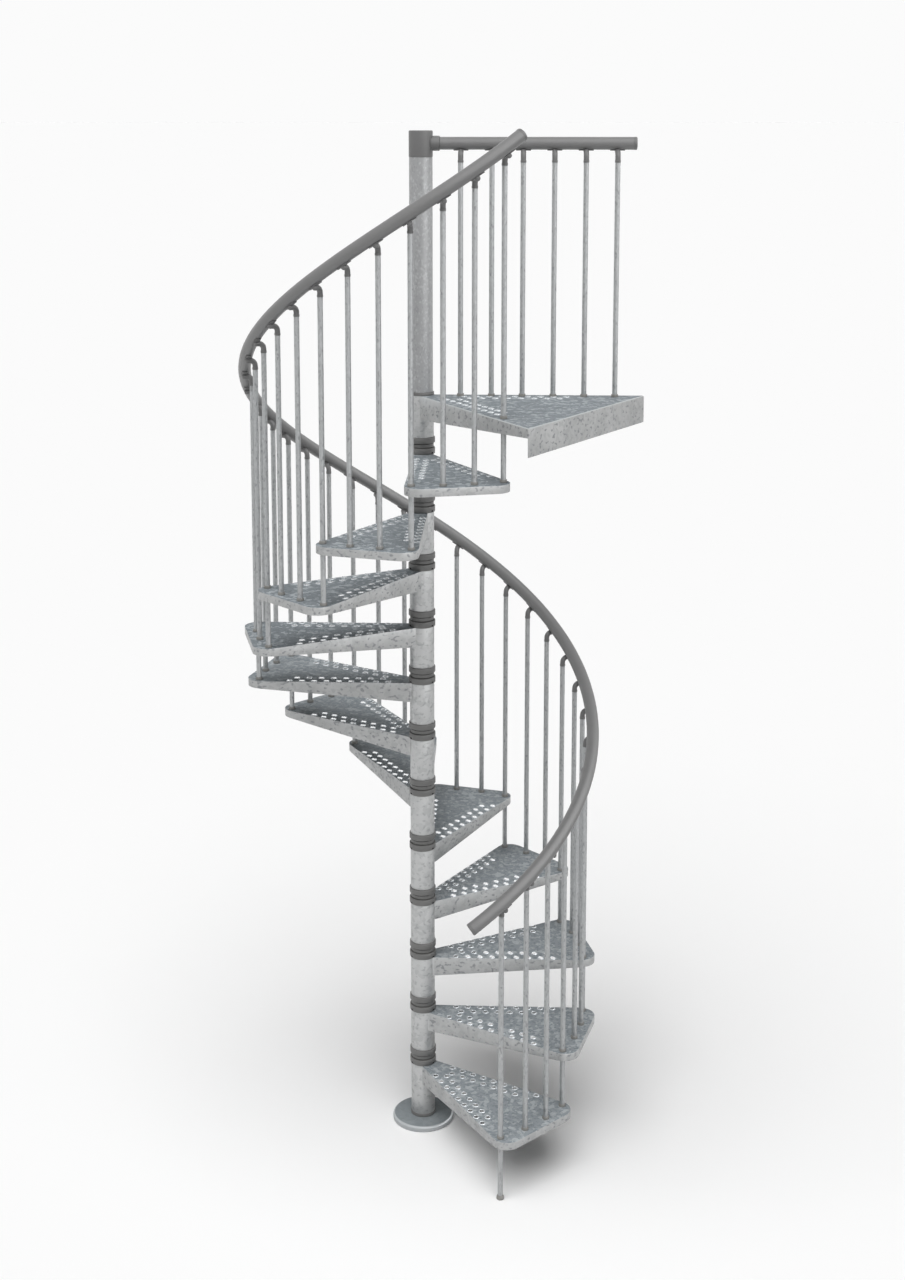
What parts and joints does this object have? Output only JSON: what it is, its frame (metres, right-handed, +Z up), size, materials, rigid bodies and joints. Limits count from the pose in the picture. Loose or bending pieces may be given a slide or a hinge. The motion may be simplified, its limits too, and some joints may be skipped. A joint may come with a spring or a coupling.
{
  "type": "spiral staircase",
  "caption": "Galvanised steel spiral staircase: folded wedge treads on a round centre column, triangular landing, round balusters and a helical tube handrail, bolted to the floor.",
  "frame": {"origin": "centre of the base plate's underside, on the column's axis", "axes": "+Z up along the column; +X along the landing rail and the landing's back edge; the stair climbs counter-clockwise seen from above"},
  "size_m": [1.5836, 1.4924, 4.0953],
  "materials": {
    "galvanised_sheet": "hot-dip galvanised, dull, with pale flecks",
    "galvanised_tube": "hot-dip galvanised, satin, faint mottling",
    "galvanised_plate": "galvanised, smooth satin",
    "grey_spacer": "moulded, satin",
    "grey_rail": "smooth satin",
    "grey_fitting": "moulded, satin"
  },
  "bodies": {
    "root": {"baluster_foot": "grey_spacer", "base_plate": "galvanised_plate", "column_collars": "grey_spacer", "handrail": "grey_rail", "handrail_elbows": "grey_fitting", "landing": "galvanised_sheet", "landing_balusters": "galvanised_tube", "landing_elbows": "grey_fitting", "landing_rail": "grey_rail", "long_balusters": "galvanised_tube", "newel_cap": "grey_fitting", "newel_tube": "galvanised_tube", "rail_caps": "grey_rail", "rail_socket": "grey_fitting", "riser_spacers": "grey_spacer", "short_balusters": "galvanised_tube", "tread_01": "galvanised_sheet", "tread_02": "galvanised_sheet", "tread_03": "galvanised_sheet", "tread_04": "galvanised_sheet", "tread_05": "galvanised_sheet", "tread_06": "galvanised_sheet", "tread_07": "galvanised_sheet", "tread_08": "galvanised_sheet", "tread_09": "galvanised_sheet", "tread_10": "galvanised_sheet", "tread_11": "galvanised_sheet", "tread_12": "galvanised_sheet"}
  },
  "joints": []
}
